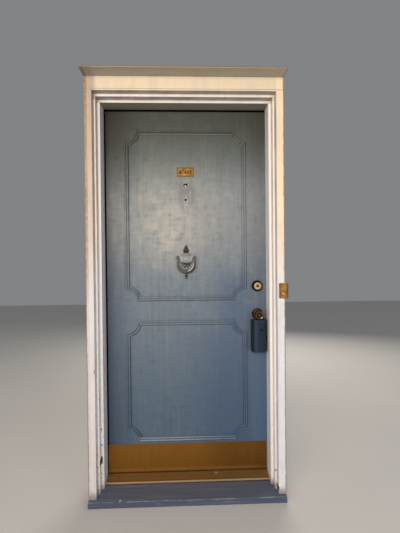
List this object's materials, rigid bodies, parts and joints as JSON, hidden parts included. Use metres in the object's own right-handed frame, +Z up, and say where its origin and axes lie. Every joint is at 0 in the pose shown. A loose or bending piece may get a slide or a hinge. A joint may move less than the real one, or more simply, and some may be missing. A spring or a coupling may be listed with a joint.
{
  "type": "panelled front door",
  "caption": "Inward-opening front door with planted scooped mouldings in a stepped frame with sill, threshold, knocker, knob, deadbolt, bell push and hanging key safe.",
  "frame": {"origin": "underside of the sill, on the door's centre line and in the plane of the slab's street face", "axes": "+Z up, +Y from the street to the room, +X from the hinge side to the lock side as seen from the street"},
  "size_m": [1.04, 0.3595, 2.2045],
  "materials": {
    "frame_paint": "cream gloss paint on softwood, chipped",
    "door_paint": "blue-grey satin paint on a flush door",
    "sill_paint": "blue-grey paint, worn through at the front edge",
    "knocker_paint": "casting painted over with the door",
    "kickplate_brass": "tarnished sheet brass",
    "threshold_brass": "worn brass saddle with a bright nose",
    "nameplate_brass": "bright lacquered brass",
    "knob_brass": "aged brass, nearly brown",
    "lock_bronze": "dark oxidised bronze",
    "lock_bright": "rubbed bright brass",
    "bell_brass": "dull yellow brass",
    "bell_ivory": "aged ivory plastic",
    "hinge_steel": "brassed steel",
    "bolt_steel": "plain steel",
    "seal_rubber": "black seal",
    "viewer_metal": "dark viewer barrel",
    "viewer_glass": "clear lens",
    "safe_navy": "dark navy baked paint",
    "shackle_steel": "plated steel bar"
  },
  "bodies": {
    "frame": {"jamb_hinge_side": "frame_paint", "jamb_lock_side": "frame_paint", "jamb_head": "frame_paint", "step_moulding_left": "frame_paint", "step_moulding_right": "frame_paint", "step_moulding_head": "frame_paint", "casing_left": "frame_paint", "casing_right": "frame_paint", "casing_head_band": "frame_paint", "head_board": "frame_paint", "head_cap": "frame_paint", "sill": "sill_paint", "threshold": "threshold_brass", "threshold_gasket": "seal_rubber", "weatherstrips": "seal_rubber", "door_stops": "frame_paint", "latch_strike": "bolt_steel", "deadbolt_strike": "bolt_steel", "hinge_frame_leaf_top": "hinge_steel", "hinge_frame_leaf_middle": "hinge_steel", "hinge_frame_leaf_bottom": "hinge_steel", "hinge_pins": "hinge_steel", "frame_screws": "hinge_steel", "bell_plate": "bell_brass"},
    "leaf": {"door_slab": "door_paint", "upper_moulding_lengths": "door_paint", "upper_moulding_corners": "door_paint", "lower_moulding_lengths": "door_paint", "lower_moulding_corners": "door_paint", "kickplate": "kickplate_brass", "nameplate": "nameplate_brass", "viewer_barrel": "viewer_metal", "viewer_lens": "viewer_glass", "knocker_urn": "knocker_paint", "knocker_pins": "knocker_paint", "hinge_door_leaf_top": "hinge_steel", "hinge_door_leaf_middle": "hinge_steel", "hinge_door_leaf_bottom": "hinge_steel", "door_screws": "hinge_steel", "deadbolt_collar": "lock_bronze", "deadbolt_cylinder": "lock_bright", "thumbturn_rose": "knob_brass", "deadbolt_case": "bolt_steel", "knob_rose_outer": "lock_bronze", "knob_rose_inner": "knob_brass", "latch_case": "bolt_steel", "key_safe_body": "safe_navy", "key_safe_shackle": "shackle_steel"},
    "knob_set": {"knob_outer": "knob_brass", "knob_inner": "knob_brass", "knob_spindle": "bolt_steel"},
    "knob_plug": {"knob_key_plug": "lock_bright"},
    "latch": {"latch_bolt": "bolt_steel"},
    "deadbolt_turn": {"deadbolt_key_plug": "knob_brass", "deadbolt_tailpiece": "bolt_steel", "thumbturn": "knob_brass"},
    "deadbolt": {"deadbolt_bolt": "bolt_steel"},
    "knocker": {"knocker_bail": "knocker_paint"},
    "bell": {"bell_button": "bell_ivory"}
  },
  "joints": [
    {"name": "door_swing", "type": "hinge", "parent": "frame", "child": "leaf", "pos_m": [-0.4586, 0.0518, 1.129], "axis": [0, 0, 1], "range_deg": [0, 110]},
    {"name": "knob_turn", "type": "hinge", "parent": "leaf", "child": "knob_set", "pos_m": [0.397, 0, 0.953], "axis": [0, 1, 0], "range_deg": [0, 60], "stiffness_Nm_per_rad": 0.3, "springref_deg": 60},
    {"name": "latch_slide", "type": "slide", "parent": "leaf", "child": "latch", "axis": [1, 0, 0], "range_m": [0, 0.0127]},
    {"name": "knob_key_turn", "type": "hinge", "parent": "knob_set", "child": "knob_plug", "pos_m": [0.397, 0, 0.953], "axis": [0, 1, 0], "range_deg": [0, 90]},
    {"name": "deadbolt_turn", "type": "hinge", "parent": "leaf", "child": "deadbolt_turn", "pos_m": [0.397, 0, 1.111], "axis": [0, 1, 0], "range_deg": [0, 90]},
    {"name": "deadbolt_throw", "type": "slide", "parent": "leaf", "child": "deadbolt", "axis": [1, 0, 0], "range_m": [0, 0.0254]},
    {"name": "knocker_swing", "type": "hinge", "parent": "leaf", "child": "knocker", "pos_m": [0, -0.0185, 1.275], "axis": [-1, 0, 0], "range_deg": [0, 75]},
    {"name": "bell_press", "type": "slide", "parent": "frame", "child": "bell", "axis": [0, 1, 0], "range_m": [0, 0.0025], "stiffness_N_per_m": 300}
  ],
  "couplings": [
    {"joint": "knob_turn", "follows": "latch_slide", "rad_per_m": 82.457},
    {"joint": "deadbolt_turn", "follows": "deadbolt_throw", "rad_per_m": 61.842}
  ]
}
